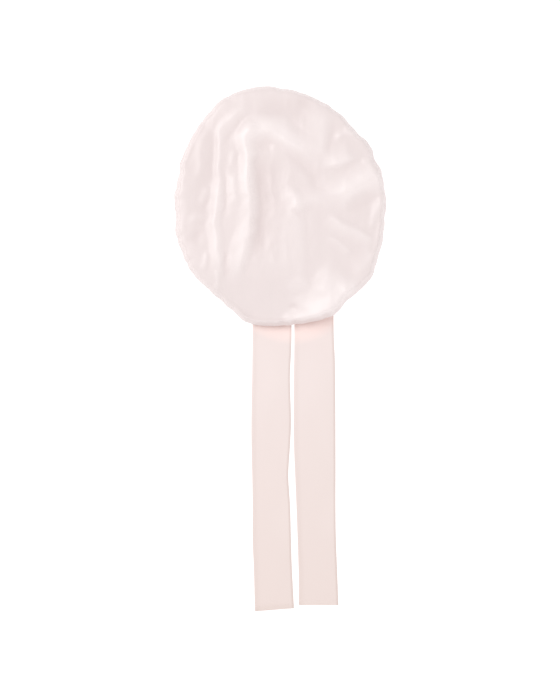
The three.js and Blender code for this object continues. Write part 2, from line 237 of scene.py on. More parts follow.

# %% [markdown]
# ## The folds
# Cloth folds are ridges and hollows that run along a path. Each row of the table is one of them: how high
# it stands (a hollow is negative), how far its two sides reach, how crisp its crest is, over which share
# of its path it fades out at each end, and the path of its crest. The light comes from the upper left, so
# a fold with a short upper left side shows as a thin bright line. The photo was enlarged and each path
# read from it.

# %% Fold table: heights and widths in millimetres, paths in the photo's pixels, upwards or to the right
Fold = namedtuple("Fold", "name height upper_left lower_right crisp ends path")
FOLDS = (
    Fold("left trough", -2.4, 38, 13, 0.8, (0.35, 0.3),
         ((212, 268), (212, 236), (210, 208), (213, 176), (216, 150), (217, 132), (226, 118))),
    Fold("upper left hollow", -1.5, 13, 11, 0.2, (0.35, 0.35),
         ((208, 112), (198, 134), (191, 162), (190, 192))),
    Fold("top trough", -1.8, 24, 14, 0.5, (0.3, 0.3), ((252, 114), (275, 112), (296, 112), (320, 119))),
    Fold("outer left ridge, top", 1.8, 7, 9, 0.9, (0.15, 0.2),
         ((219, 186), (219, 172), (221, 160), (222, 146), (221, 132), (231, 119), (241, 110), (252, 104))),
    Fold("outer left ridge, low", 3.3, 14, 10, 0.9, (0.3, 0.13),
         ((217, 286), (218, 272), (219, 258), (219, 242), (216, 228), (215, 214), (217, 198), (219, 172))),
    Fold("outer left tail", 1.8, 5, 5, 0.7, (0.3, 0.2), ((216, 293), (217, 282), (216, 270))),
    Fold("valley beside the outer ridge", -1.0, 6, 8, 0.2, (0.2, 0.2),
         ((224, 224), (224, 205), (224, 185), (225, 165), (227, 145), (240, 124), (254, 113))),
    Fold("oval lump", 2.0, 12, 9, 0.5, (0.3, 0.3), ((234, 210), (235, 192), (234, 173))),
    Fold("short streak", 1.0, 4, 4, 0.3, (0.3, 0.3), ((231, 168), (234, 150))),
    Fold("inner left ridge, top", 4.4, 13, 14, 0.9, (0.35, 0.15),
         ((249, 232), (249, 212), (248, 190), (247, 170), (247, 156), (244, 141), (249, 131), (257, 124))),
    Fold("inner left ridge, low", 3.2, 19, 12, 0.8, (0.3, 0.4),
         ((231, 288), (235, 272), (242, 256), (247, 238), (249, 220), (249, 194))),
    Fold("valley between the low ridges", -1.6, 7, 7, 0.1, (0.3, 0.3), ((226, 285), (226, 265), (228, 248))),
    Fold("arch", 4.8, 24, 13, 0.8, (0.3, 0.4),
         ((244, 152), (249, 139), (259, 132), (271, 132), (284, 139), (297, 149), (310, 160), (318, 176))),
    Fold("dark valley", -3.8, 15, 46, 0.5, (0.3, 0.3),
         ((254, 266), (259, 242), (261, 215), (261, 190), (261, 168), (262, 146))),
    Fold("hollow under the arch", -1.4, 9, 12, 0.2, (0.3, 0.3), ((258, 152), (265, 146), (276, 149))),
    Fold("middle panel", 1.3, 46, 9, 0.95, (0.25, 0.3),
         ((298, 290), (300, 268), (300, 246), (299, 226), (294, 208), (286, 192))),
    Fold("foot of the panel", 0.4, 22, 20, 0.1, (0.3, 0.3),
         ((284, 286), (280, 262), (274, 240), (270, 215), (270, 190))),
    Fold("star", 2.0, 18, 9, 0.6, (0.35, 0.35), ((302, 217), (299, 206), (294, 195), (286, 187))),
    Fold("star arm", 2.0, 18, 13, 0.6, (0.3, 0.35), ((290, 206), (304, 202), (318, 202), (334, 211))),
    Fold("star notch", -1.0, 6, 6, 0.2, (0.3, 0.3), ((302, 218), (293, 208))),
    Fold("slope right of the arch", -1.4, 12, 16, 0.1, (0.3, 0.3),
         ((318, 196), (312, 178), (300, 162), (286, 152))),
    Fold("upper right panel", 2.0, 32, 10, 0.9, (0.3, 0.2), ((320, 162), (323, 146), (325, 130), (328, 110))),
    Fold("top right dent", -1.6, 14, 14, 0.0, (0.4, 0.4), ((296, 106), (308, 102), (320, 106))),
    Fold("crease below the panel", -1.0, 8, 9, 0.4, (0.3, 0.3),
         ((328, 158), (330, 146), (332, 134), (336, 118))),
    Fold("short ridge, top right", 1.8, 8, 5, 0.6, (0.3, 0.2), ((336, 142), (344, 134), (356, 136))),
    Fold("corner ridge", 1.8, 8, 6, 0.6, (0.3, 0.2), ((342, 126), (352, 132), (362, 140))),
    Fold("lens, upper right", 3.4, 24, 8, 0.8, (0.5, 0.3), ((316, 170), (338, 164), (356, 158))),
    Fold("small rim lump", 1.0, 8, 6, 0.5, (0.3, 0.3), ((360, 164), (370, 161))),
    Fold("right ridge", 5.4, 26, 26, 0.7, (0.45, 0.1), ((314, 196), (345, 192), (362, 184), (380, 172))),
    Fold("right hollow", -1.6, 16, 22, 0.0, (0.35, 0.35), ((346, 212), (360, 200), (374, 190))),
    Fold("right crease", 2.6, 7, 18, 0.7, (0.35, 0.2),
         ((326, 214), (334, 219), (342, 225), (354, 231), (366, 238), (377, 243))),
    Fold("faint crease", 1.3, 5, 9, 0.7, (0.3, 0.3), ((328, 236), (340, 246), (352, 256))),
    Fold("pale patch, right", 1.8, 20, 8, 0.6, (0.3, 0.3), ((352, 274), (366, 263), (375, 248))),
    Fold("rim crease, right", 1.6, 10, 6, 0.7, (0.25, 0.2), ((368, 230), (374, 220), (377, 210), (382, 200))),
    Fold("first lump, lower right", 1.2, 18, 10, 0.6, (0.3, 0.3), ((322, 298), (327, 282), (330, 260))),
    Fold("second lump, lower right", 1.2, 18, 12, 0.6, (0.3, 0.3), ((344, 300), (353, 286), (362, 266))),
    Fold("swell, lower right", 5.4, 50, 12, 0.8, (0.25, 0.25),
         ((300, 330), (322, 316), (343, 300), (360, 280))),
    Fold("end of the panel", 1.6, 14, 12, 0.3, (0.3, 0.3), ((284, 290), (298, 285), (312, 283))),
    Fold("lip lump", 1.3, 7, 5, 0.5, (0.3, 0.3), ((282, 318), (294, 317), (306, 315))),
    Fold("lip hollow", -1.4, 6, 6, 0.1, (0.3, 0.3), ((288, 307), (298, 306))),
    Fold("left lump", 1.2, 10, 8, 0.4, (0.35, 0.35), ((188, 224), (199, 219), (210, 219))),
    Fold("upper left lump", 1.5, 9, 5, 0.5, (0.3, 0.3), ((200, 209), (206, 197), (208, 185))),
    Fold("low left streak", 1.4, 7, 5, 0.5, (0.3, 0.3), ((201, 271), (205, 262), (208, 250))),
    Fold("low left hollow", -1.4, 12, 12, 0.0, (0.4, 0.4), ((192, 248), (196, 238), (202, 228))),
)
print(len(FOLDS), "folds")


# %% Height that the folds add at any place, measured from the crown's middle
CREST_SAMPLES = 8


def crest_of(fold):
    pixels = np.array(fold.path, dtype=float) - PHOTO_CROWN_MIDDLE
    return smooth_curve(pixels * (PIXEL, -PIXEL), CREST_SAMPLES)


def fold_heights(x, y):
    height = np.zeros_like(x)
    for fold in FOLDS:
        crest = crest_of(fold)
        reach = max(fold.upper_left, fold.lower_right) * MM
        low, high = crest.min(axis=0) - reach, crest.max(axis=0) + reach
        near = (x > low[0]) & (x < high[0]) & (y > low[1]) & (y < high[1])
        places = np.column_stack([x[near], y[near]])
        step = np.diff(crest, axis=0)
        offset = places[:, None, :] - crest[None, :-1]
        along = np.clip((offset * step).sum(-1) / (step ** 2).sum(-1), 0, 1)
        distance = np.linalg.norm(offset - along[..., None] * step, axis=-1)
        nearest = distance.argmin(axis=1)
        row = np.arange(len(places))
        side = step[nearest, 0] * offset[row, nearest, 1] - step[nearest, 1] * offset[row, nearest, 0]
        width = np.where(side > 0, fold.upper_left, fold.lower_right) * MM
        share = np.clip(distance[row, nearest] / width, 0, 1)
        profile = (1 - fold.crisp) * np.cos(share * pi / 2) ** 2 + fold.crisp * (1 - share)
        travel = (nearest + along[row, nearest]) / len(step)
        near_end = soft_step(travel, 0, fold.ends[0])
        far_end = soft_step(1 - travel, 0, fold.ends[1])
        height[near] += fold.height * MM * near_end * far_end * profile
    return height


print("folds at the crown's middle, mm:", round(float(fold_heights(np.zeros(1), np.zeros(1))[0] / MM), 2))

# %% [markdown]
# ## The flat cut, laid over the form
# The cut is a line of vertices spun once about its end. Its flat places are kept as a UV map, because the
# satin's threads run straight across the flat cloth and bend with it afterwards. Then every vertex is
# moved: its distance from the middle says how far it has travelled over the dome, round the rim and in
# underneath.

# %% Flat round of satin
CUT_RADIUS = 215 * MM
RINGS = 118
SPOKES = 384
SAME_PLACE = 0.01 * MM

cloth = bmesh.new()
spoke = [cloth.verts.new((CUT_RADIUS * ring / RINGS, 0, 0)) for ring in range(RINGS + 1)]
spoke_edges = [cloth.edges.new(pair) for pair in zip(spoke, spoke[1:])]
bmesh.ops.spin(cloth, geom=spoke + spoke_edges, cent=(0, 0, 0), axis=(0, 0, 1), angle=2 * pi, steps=SPOKES,
               use_merge=True)
bmesh.ops.remove_doubles(cloth, verts=cloth.verts[:], dist=SAME_PLACE)
bmesh.ops.recalc_face_normals(cloth, faces=cloth.faces[:])
cut_map = cloth.loops.layers.uv.new("cut")
for face in cloth.faces:
    for loop in face.loops:
        loop[cut_map].uv = loop.vert.co.xy + Vector((CUT_RADIUS, CUT_RADIUS))
print("flat cut:", round(2 * CUT_RADIUS / MM), "mm across,", len(cloth.faces), "faces")

# %% [markdown]
# ## What raises and sinks the rim
# The ribbons run in under the rim, so cloth and band lift over them by a ribbon's thickness. The rim
# isn't even either: a small lip stands up over the right tie, the front is pressed flat, and both sides
# are a little full. Each of these is strongest at a bearing of its own and fades to either side.

# %% Lift over the ties
LIFT_MARGIN = 10 * MM
LIFT_BLEND = 16 * MM
CLEARANCE = 0.3 * MM
SEWN_LIMIT = 0.98
sewn_half_width = band_half_width - BAND_WIDTH / 2
sewn_half_length = band_half_length - BAND_WIDTH / 2


def sewn_line(x):
    """Where the band's middle line passes a given x on the ties' side, from the crown's middle."""
    share = np.minimum(np.abs(x - OPENING_SHIFT) / sewn_half_width, SEWN_LIMIT)
    return -sewn_half_length * np.sqrt(1 - share ** 2)


ties_half_width = RIBBON_WIDTH + TIE_GAP / 2
ties_top = sewn_line(OPENING_SHIFT + ties_half_width)


def tie_lift(x, y):
    """The cloth and the band lift over the ribbons."""
    side = 1 - soft_step(np.abs(x - OPENING_SHIFT) - ties_half_width - LIFT_MARGIN, 0, LIFT_BLEND)
    above = 1 - soft_step(y - ties_top - LIFT_MARGIN, 0, LIFT_BLEND)
    return (RIBBON_THICKNESS + CLEARANCE) * side * above


print("ribbons' sewn ends begin at, mm:", round(float(ties_top) / MM, 1))

# %% Parts of the rim: bearing of the middle and spread to either side, in degrees
Part = namedtuple("Part", "bearing spread")
LIP = Part(291, 17)
PRESSED_PART = Part(262, 48)
LEFT_PART = Part(165, 85)
RIGHT_PART = Part(-8, 62)


def around(angle, part):
    """1 at the part's own bearing, and fading to 0 over its spread."""
    away = (angle - radians(part.bearing) + pi) % (2 * pi) - pi
    return np.cos(np.clip(away / radians(part.spread), -1, 1) * pi / 2) ** 2


pressed_lip = around(radians(LIP.bearing), PRESSED_PART)
print("share of the front's pressing that reaches the lip:", round(float(pressed_lip), 2))

# %% [markdown]
# ## Tucks and gathers
# A round of cloth is far longer round its edge than the band it is sewn to, so it falls into gathers
# there. At the band they are many and small, and towards the rim they join into fewer, broader tucks.
# Cosine waves make both. Soft noise shifts them and changes their depth, because even waves would look
# like a machined part.

# %% Tucks of the rim
GATHERS_AT_RIM = 42
TUCK_SWAY = 0.1
TUCK_CRISPNESS = 1.5


def tucks(angle):
    """Uneven tucks of the gathered rim: 0 between two of them and up to 1 in one."""
    sway = TUCK_SWAY * round_noise(angle, 5, 13)
    depth = 0.55 + 0.45 * round_noise(angle, 8, 14)
    return depth * (0.5 + 0.5 * np.cos(GATHERS_AT_RIM * (angle + sway))) ** TUCK_CRISPNESS


print("depth of the tuck at bearing 0:", round(float(tucks(np.zeros(1))[0]), 2))

# %% Gathers of the underside, at an angle and a share of the way in from the rim
GATHER_DEPTH = 4.5 * MM
GATHERS_AT_BAND = 64
GATHER_SWAY = 0.05


def gathers(angle, inwards):
    """Ripples of the underside: many at the band, fewer and softer towards the rim."""
    sway = GATHER_SWAY * soft_noise(4 * np.cos(angle) + 3 * inwards, 4 * np.sin(angle), 1, 11)
    fine = (1 + np.cos(GATHERS_AT_BAND * (angle + sway))) / 2
    broad = tucks(angle)
    uneven = 0.75 + 0.35 * round_noise(angle, 9, 12)
    fullness = soft_step(inwards, 0.02, 0.4) * (1 - 0.5 * soft_step(inwards, 0.8, 1))
    near_band = soft_step(inwards, 0.45, 0.95)
    return GATHER_DEPTH * uneven * fullness * (fine * near_band + broad * (1 - near_band))


print("gathers half way in at bearing 0, mm:", round(float(gathers(np.zeros(1), 0.5)[0] / MM), 2))

# %% How far along its way each vertex of the cut is
EASING_ALLOWANCE = 1.008
RIM_WANDER = 0.004

flat = vertex_places(cloth)
turn = np.arctan2(flat[:, 1], flat[:, 0])
travel = np.hypot(flat[:, 0], flat[:, 1]) / CUT_RADIUS * (dome_length + UNDERSIDE_LENGTH)
rim_distance = outline_radius(turn) * (EASING_ALLOWANCE + RIM_WANDER * round_noise(turn, 10, 21))
heading = np.column_stack([np.cos(turn), np.sin(turn)])
tucked = tucks(turn)
over = np.minimum(travel, dome_length)
dome_share = np.interp(over, dome_travel, dome_line[:, 0]) / mean_radius
inwards = np.clip((travel - dome_length) / UNDERSIDE_LENGTH, 0, 1)
below = travel > dome_length
print(int(below.sum()), "of", len(flat), "vertices lie underneath")

# %% [markdown]
# ## The upper side
# On top a vertex goes out along its own bearing, to its share of the way to the rim. Its height is the
# dome's, and then folds, crinkles, tucks and the fuller and flatter parts are added. A zone says where on
# the way each of them comes up and where it fades again.

# %% Zones: where something comes up and where it fades, as shares of the way
Zone = namedtuple("Zone", "rise fall")
WALL_ZONE = Zone((0.92, 0.985), (0.988, 1))
DIP_ZONE = Zone((0.88, 0.96), (0.975, 1))
LEFT_ZONE = Zone((0.5, 0.93), (0.965, 1))
RIGHT_ZONE = Zone((0.9, 0.96), (0.965, 0.995))
UNDER_ZONE = Zone((0, 0.12), (0.2, 0.6))


def within(share, zone):
    return soft_step(share, *zone.rise) * (1 - soft_step(share, *zone.fall))


print("vertices on the wall:", int((within(dome_share, WALL_ZONE) > 0).sum()))

# %% Places of the upper side: the rim is drawn in by its tucks, and the wall above it is slack
RIM_TUCK = 1.5 * MM
RIM_TUCK_START, RIM_TUCK_FULL = 0.94, 0.99
WALL_TUCK = 1.4 * MM
WALL_SLACK = 1.8 * MM

rim = heading * (rim_distance - RIM_TUCK * tucked)[:, None]
wall_in = WALL_TUCK * tucked + WALL_SLACK * (0.5 + 0.5 * round_noise(turn, 7, 15))
drawn_in = RIM_TUCK * tucked * soft_step(dome_share, RIM_TUCK_START, RIM_TUCK_FULL)
drawn_in += wall_in * within(dome_share, WALL_ZONE)
top = heading * (rim_distance * dome_share - drawn_in)[:, None]
print("wall drawn in by up to, mm:", round(float(drawn_in.max() / MM), 1))

# %% Folds that stray a little from their paths, and crinkles: soft ones, and sharp ones that dent the cloth
Lumps = namedtuple("Lumps", "height size squeeze seed")
STRAY_X = (Lumps(2.2 * MM, 26 * MM, 1, 1), Lumps(1.0 * MM, 11 * MM, 1, 2))
STRAY_Y = (Lumps(2.2 * MM, 26 * MM, 1, 3), Lumps(1.0 * MM, 11 * MM, 1, 4))
SOFT_CRINKLES = (Lumps(0.3 * MM, 14 * MM, 0.6, 5), Lumps(0.12 * MM, 7 * MM, 0.7, 6))
SHARP_CRINKLES = (Lumps(0.7 * MM, 19 * MM, 0.7, 7), Lumps(0.2 * MM, 9 * MM, 0.8, 8))


def lumpy(x, y, rows, shape=lambda noise: noise):
    """Sum of the rows' noise, each squeezed along Y and shaped before it is scaled."""
    return sum(row.height * shape(soft_noise(x, row.squeeze * y, row.size, row.seed)) for row in rows)


stray_x = top[:, 0] + lumpy(*top.T, STRAY_X)
stray_y = top[:, 1] + lumpy(*top.T, STRAY_Y)
folds = fold_heights(stray_x, stray_y)
crinkles = lumpy(*top.T, SOFT_CRINKLES) - lumpy(stray_x, stray_y, SHARP_CRINKLES, np.abs)
print("folds from, mm:", round(float(folds.min() / MM), 1), "to:", round(float(folds.max() / MM), 1))

# %% Height of the upper side
FOLD_FADE = 0.93
CRINKLE_FADE = 0.985
LIFT_FADE = 0.7
TUCK_DIP = 0.6 * MM
LIP_RISE = 2 * MM
PRESSED_SHOULDER = 14 * MM
PRESSED_RIM = 6.5 * MM
PRESSED_START, PRESSED_FULL = 0.45, 0.92
LEFT_SHOULDER = 2.4 * MM
RIGHT_SHOULDER = 2 * MM

faded_folds = (1 - soft_step(dome_share, FOLD_FADE, 1)) * folds
top_height = np.interp(over, dome_travel, dome_line[:, 1])
top_height += faded_folds + (1 - soft_step(dome_share, CRINKLE_FADE, 1)) * crinkles
top_height -= TUCK_DIP * tucked * within(dome_share, DIP_ZONE)
top_height += soft_step(dome_share, LIFT_FADE, 1) * (tie_lift(*top.T) + LIP_RISE * around(turn, LIP))
sunk = PRESSED_SHOULDER * soft_step(dome_share, PRESSED_START, PRESSED_FULL)
sunk -= (PRESSED_SHOULDER - PRESSED_RIM) * soft_step(dome_share, PRESSED_FULL, 1)
top_height -= around(turn, PRESSED_PART) * sunk
top_height += LEFT_SHOULDER * around(turn, LEFT_PART) * within(dome_share, LEFT_ZONE)
top_height += RIGHT_SHOULDER * around(turn, RIGHT_PART) * within(dome_share, RIGHT_ZONE)
print("upper side, mm high:", round(float(top_height.max()) / MM, 1))

# %% [markdown]
# ## The underside
# From the rim the cloth rolls under and runs in to the band. Its free edge ends just outside the band,
# half way up its thickness. The roll is a quarter of a circle, flattened where the front is pressed. The
# gathers stand on top of that, so that they never reach below the floor.

# %% Places and height of the underside
UNDER_TUCK = 4.5 * MM
FLOOR_GAP = 0.25 * MM
EDGE_RISE_START = 0.6
LIP_REACH = 0.6

edge = np.column_stack([OPENING_SHIFT + (band_half_width + CLEARANCE) * heading[:, 0],
                        (band_half_length + CLEARANCE) * heading[:, 1]])
under = rim + inwards[:, None] * (edge - rim)
under -= heading * (UNDER_TUCK * tucked * within(inwards, UNDER_ZONE))[:, None]
curl = 1 - np.clip(inwards * np.linalg.norm(edge - rim, axis=1) / RIM_ROLL, 0, 1)
rim_height = RIM_HEIGHT - PRESSED_RIM * around(turn, PRESSED_PART)
under_height = rim_height * (1 - np.sqrt(1 - curl ** 2)) + gathers(turn, inwards) + FLOOR_GAP
under_height += BAND_THICKNESS / 2 * soft_step(inwards, EDGE_RISE_START, 1) + tie_lift(*under.T)
under_height += LIP_RISE * around(turn, LIP) * (1 - soft_step(inwards, 0, LIP_REACH))
print("gathers reach up to, mm:", round(float(under_height[below].max()) / MM, 1))

# %% Lay the cut over the form
laid = np.where(below[:, None], under, top)
height = np.where(below, under_height, top_height)
move_vertices(cloth, np.column_stack([laid, height]) + crown_middle)
print("laid crown, mm high:", round(float(height.max()) / MM, 1))

# %% Ease the cloth, and note how deep in a fold each place is: its colour gets painted shade in the hollows, painted light on the crests and painted shade on the rim's roll
EASING_ROUNDS = 2
EASING = 0.35
DEEP_FOLD = 4 * MM
RIM_PAINTED_SHADE = 0.35
RIM_PAINTED_SHADE_START = 0.965

for _ in range(EASING_ROUNDS):
    bmesh.ops.smooth_vert(cloth, verts=cloth.verts[:], factor=EASING,
                          use_axis_x=True, use_axis_y=True, use_axis_z=True)
crown = piece_from("crown_cloth", cloth)
depth = crown.data.attributes.new("painted_fold_shade_and_light", "FLOAT", "POINT")
# Painted shade in the folds' hollows and painted light on their crests, from the folds' height
painted_fold_shade_and_light = np.where(below, 0, faded_folds) / DEEP_FOLD
# Painted shade on the rim's roll, darker towards the edge
painted_fold_shade_and_light -= RIM_PAINTED_SHADE * soft_step(dome_share, RIM_PAINTED_SHADE_START, 1)
depth.data.foreach_set("value", painted_fold_shade_and_light)

# %% Thickness of the satin
SATIN_THICKNESS = 0.5 * MM

wall = crown.modifiers.new("satin thickness", "SOLIDIFY")
wall.thickness = SATIN_THICKNESS
wall.offset = -1
wall.use_even_offset = True
print("satin, mm thick:", round(SATIN_THICKNESS / MM, 1))

# %% [markdown]
# ## The elastic band in its casing
# The band is a flat tube of satin with elastic inside. The elastic draws it in, so it is puckered all
# round. A ring of section points is spun into a torus, and its vertices are then spread over the oval and
# puckered.

# %% A plain torus of radius 1
CASING_PUCKERS = 96
SECTION_POINTS = 20
SECTION_RADIUS = 0.25
CASING_STEPS = 6 * CASING_PUCKERS

ring = bmesh.new()
upright = Matrix.Translation((1, 0, 0)) @ Matrix.Rotation(pi / 2, 4, "X")
circle = bmesh.ops.create_circle(ring, segments=SECTION_POINTS, radius=SECTION_RADIUS, matrix=upright)
section = circle["verts"]
section_edges = ring.edges[:]
bmesh.ops.spin(ring, geom=section + section_edges, cent=(0, 0, 0), axis=(0, 0, 1), angle=2 * pi,
               steps=CASING_STEPS, use_merge=True)
bmesh.ops.remove_doubles(ring, verts=ring.verts[:], dist=SAME_PLACE)
bmesh.ops.recalc_face_normals(ring, faces=ring.faces[:])
print("torus:", len(ring.faces), "faces")

# %% The torus spread over the band's oval, flattened and puckered
PUCKER_DEPTH = 1.1 * MM
PUCKER_SWAY = 0.012
EDGE_EASE = 0.3
SQUARENESS = 0.55

torus = vertex_places(ring)
ring_turn = np.arctan2(torus[:, 1], torus[:, 0])
out = (np.hypot(torus[:, 0], torus[:, 1]) - 1) / SECTION_RADIUS
up = torus[:, 2] / SECTION_RADIUS
out = np.sign(out) * np.abs(out) ** SQUARENESS
pucker = (1 + np.cos(CASING_PUCKERS * (ring_turn + PUCKER_SWAY * round_noise(ring_turn, 9, 31)))) / 2
pucker = pucker * (0.6 + 0.4 * round_noise(ring_turn, 14, 32))
half_width = BAND_WIDTH / 2 - PUCKER_DEPTH * 0.5 * pucker
half_height = BAND_THICKNESS / 2 - PUCKER_DEPTH * 0.5 * pucker * (1 - EDGE_EASE * out ** 2)
ring_x = OPENING_SHIFT + (sewn_half_width + out * half_width) * np.cos(ring_turn)
ring_y = (sewn_half_length + out * half_width) * np.sin(ring_turn)
ring_z = BAND_THICKNESS / 2 + up * half_height + tie_lift(ring_x, ring_y)
move_vertices(ring, np.column_stack([ring_x, ring_y, ring_z]) + crown_middle)
band = piece_from("band_casing", ring)

# %% [markdown]
# ## The ribbon ties
# Each tie is a flat strip with soft turned edges. A grid is the right start: its columns run along the
# ribbon and its rows across it. A table says how the ribbon wanders and narrows as it lies, and its end
# has a hem.

# %% Tables of the ties: share of the length, then shift and width as shares of the ribbon's width
Lie = namedtuple("Lie", "along shift width")
LEFT_TIE = (
    Lie(0, 0, 1), Lie(0.18, 0.012, 1), Lie(0.3, -0.012, 0.967), Lie(0.43, -0.008, 1.015),
    Lie(0.51, -0.023, 0.987), Lie(0.58, -0.037, 0.936), Lie(0.62, -0.03, 0.93), Lie(0.69, -0.006, 0.96),
    Lie(0.8, 0.008, 0.987), Lie(0.87, 0.03, 0.975), Lie(1, 0.074, 1),
)
RIGHT_TIE = (
    Lie(0, 0, 1), Lie(0.2, 0, 1.01), Lie(0.3, 0.01, 1.056), Lie(0.48, 0.014, 1.07), Lie(0.62, 0.037, 1.03),
    Lie(0.7, 0.05, 1), Lie(0.8, 0.07, 0.98), Lie(0.92, 0.105, 0.99), Lie(1, 0.115, 1.02),
)
LEFT_SLANT = 0.08
RIGHT_SLANT = 0

Tie = namedtuple("Tie", "name middle_x length lie slant seed")
tie_spacing = RIBBON_WIDTH + TIE_GAP
TIES = (
    Tie("left_ribbon", OPENING_SHIFT - tie_spacing / 2, LEFT_TIE_LENGTH, LEFT_TIE, LEFT_SLANT, 41),
    Tie("right_ribbon", OPENING_SHIFT + tie_spacing / 2, RIGHT_TIE_LENGTH, RIGHT_TIE, RIGHT_SLANT, 42),
)
print("ties' middles, mm to the right of the crown's:", [round(tie.middle_x / MM, 1) for tie in TIES])

# %% [markdown]
# ## How a ribbon lies
# The ribbon starts flat under the band. Past the rim it rises in low waves, and its middle puffs up a
# little between its pressed edges, because it is two layers of satin turned at the edges. At its end the
# turned hem makes one small step up.

# %% Places on a ribbon's underside
LIE_SAMPLES = 12
HEM = 7 * MM
HEM_STEP = 0.35 * MM
WAVE = 0.7 * MM
WAVE_SIZE = 21 * MM
WAVE_STRETCH = 0.4
WAVE_START, WAVE_FULL = 0.2, 0.35
EDGE_PUFF = 0.9 * MM
EDGE_ROLL = 2.8 * MM
PUFF_START, PUFF_FULL = 0.1, 0.22


def ribbon_places(tie, across, along):
    """Places on a ribbon's underside, at shares of its width and of its length."""
    rows = smooth_curve([(row.along, row.shift, row.width) for row in tie.lie], LIE_SAMPLES)
    shift = np.interp(along, rows[:, 0], rows[:, 1])
    width = np.interp(along, rows[:, 0], rows[:, 2])
    x = tie.middle_x + RIBBON_WIDTH * (shift + across * width)
    end = sewn_line(tie.middle_x) - tie.length + tie.slant * across * RIBBON_WIDTH
    y = sewn_line(x) * (1 - along) + end * along
    travel = along * tie.length
    swell = 0.5 + 0.5 * soft_noise(x, y * WAVE_STRETCH, WAVE_SIZE, tie.seed)
    wave = WAVE * soft_step(along, WAVE_START, WAVE_FULL) * swell
    hem = HEM_STEP * soft_step(travel, tie.length - HEM - MM, tie.length - HEM)
    inside = 1 - soft_step(np.abs(across) * RIBBON_WIDTH, RIBBON_WIDTH / 2 - EDGE_ROLL, RIBBON_WIDTH / 2)
    inside *= soft_step(along, PUFF_START, PUFF_FULL)
    inside *= 1 - soft_step(travel, tie.length - EDGE_ROLL, tie.length)
    return np.column_stack([x, y, FLOOR_GAP + wave + hem + EDGE_PUFF * inside]) + crown_middle


ends = [ribbon_places(tie, np.zeros(1), np.ones(1))[0] for tie in TIES]
print("ties' free ends in Y, mm:", [round(float(end[1]) / MM, 1) for end in ends])

# %% Ribbons
TIE_COLUMNS = 24
TIE_ROWS = 260
END_CROWDING = 1.25
SOFT_EDGE = 0.25 * MM
SOFT_EDGE_STEPS = 3
SOFT_EDGE_ANGLE = radians(50)


def ribbon(tie):
    """One tie, from the band to its hem."""
    strip = bmesh.new()
    bmesh.ops.create_grid(strip, x_segments=TIE_COLUMNS, y_segments=TIE_ROWS, size=0.5, calc_uvs=False)
    grid = vertex_places(strip)
    across = np.sin(pi * grid[:, 0]) / 2
    along = 1 - (0.5 + grid[:, 1]) ** END_CROWDING
    move_vertices(strip, ribbon_places(tie, across, along))
    ribbon_map = strip.loops.layers.uv.new("ribbon")
    for number, vertex in enumerate(strip.verts):
        place = Vector((across[number] * RIBBON_WIDTH + RIBBON_WIDTH, along[number] * tie.length))
        for loop in vertex.link_loops:
            loop[ribbon_map].uv = place
    bmesh.ops.recalc_face_normals(strip, faces=strip.faces[:])
    piece = piece_from(tie.name, strip)
    thickness = piece.modifiers.new("doubled satin", "SOLIDIFY")
    thickness.thickness = RIBBON_THICKNESS - 2 * FLOOR_GAP
    thickness.offset = 1
    soft_edge = piece.modifiers.new("soft turned edge", "BEVEL")
    soft_edge.width = SOFT_EDGE
    soft_edge.segments = SOFT_EDGE_STEPS
    soft_edge.limit_method = "ANGLE"
    soft_edge.angle_limit = SOFT_EDGE_ANGLE
    return piece


left_tie, right_tie = (ribbon(tie) for tie in TIES)

# %% [markdown]
# ## Stitches
# A sewing machine leaves a row of short threads, each of them a small rounded bar that sinks into the
# cloth at both ends. One bar is a stretched icosphere, light enough to repeat along the ties' hems and
# round the casing.

# %% Stitches of the hems
STITCH_LENGTH = 2.6 * MM
STITCH_WIDTH = 0.55 * MM
STITCH_HEIGHT = 0.4 * MM
HEM_STITCHES = 15
HEM_ROW = 0.8


def add_stitch(stitches, place, heading):
    size = Matrix.Diagonal((STITCH_LENGTH, STITCH_WIDTH, STITCH_HEIGHT, 1))
    turned = Matrix.Translation(place) @ Matrix.Rotation(heading, 4, "Z") @ size
    bmesh.ops.create_icosphere(stitches, subdivisions=1, radius=0.5, matrix=turned)


hems = bmesh.new()
for tie in TIES:
    row = (np.arange(HEM_STITCHES) + 0.5) / HEM_STITCHES - 0.5
    hem_line = np.full(HEM_STITCHES, 1 - HEM_ROW * HEM / tie.length)
    for place in ribbon_places(tie, row, hem_line) + (0, 0, RIBBON_THICKNESS - 2 * FLOOR_GAP):
        add_stitch(hems, place, tie.slant)
hem_stitches = piece_from("hem_stitches", hems)

# %% Stitches round the casing
CASING_STITCHES = 170
CASING_ROW_INSET = 3 * MM
CASING_ROW_LEVEL = 0.2 * MM

casing = bmesh.new()
for number in range(CASING_STITCHES):
    turn_here = 2 * pi * number / CASING_STITCHES
    x = OPENING_SHIFT + (sewn_half_width + CASING_ROW_INSET) * np.cos(turn_here)
    y = (sewn_half_length + CASING_ROW_INSET) * np.sin(turn_here)
    level = CASING_ROW_LEVEL + tie_lift(x, y)
    tangent = np.arctan2(sewn_half_length * np.cos(turn_here), -sewn_half_width * np.sin(turn_here))
    add_stitch(casing, crown_middle + (x, y, level), tangent)
casing_stitches = piece_from("casing_stitches", casing)

# %% [markdown]
# ## Finishes
# Satin is woven with long floats of thread, so it is smooth and glossy along the threads. Close up it
# shows fine lines, and from further off soft crinkles. In its hollows and on the rim's roll the colour is
# painted deeper as painted shade, and on its crests paler as painted light. Each of these is a node:
# stretched noise on the flat cloth's own map for the threads, ridged noise for the crinkles, and the folds'
# own height for the painted shade and light.

# %% Helpers for materials
def new_material(name):
    material = bpy.data.materials.new(name)
    material.use_nodes = True
    nodes = material.node_tree.nodes
    return material, nodes, nodes["Principled BSDF"]


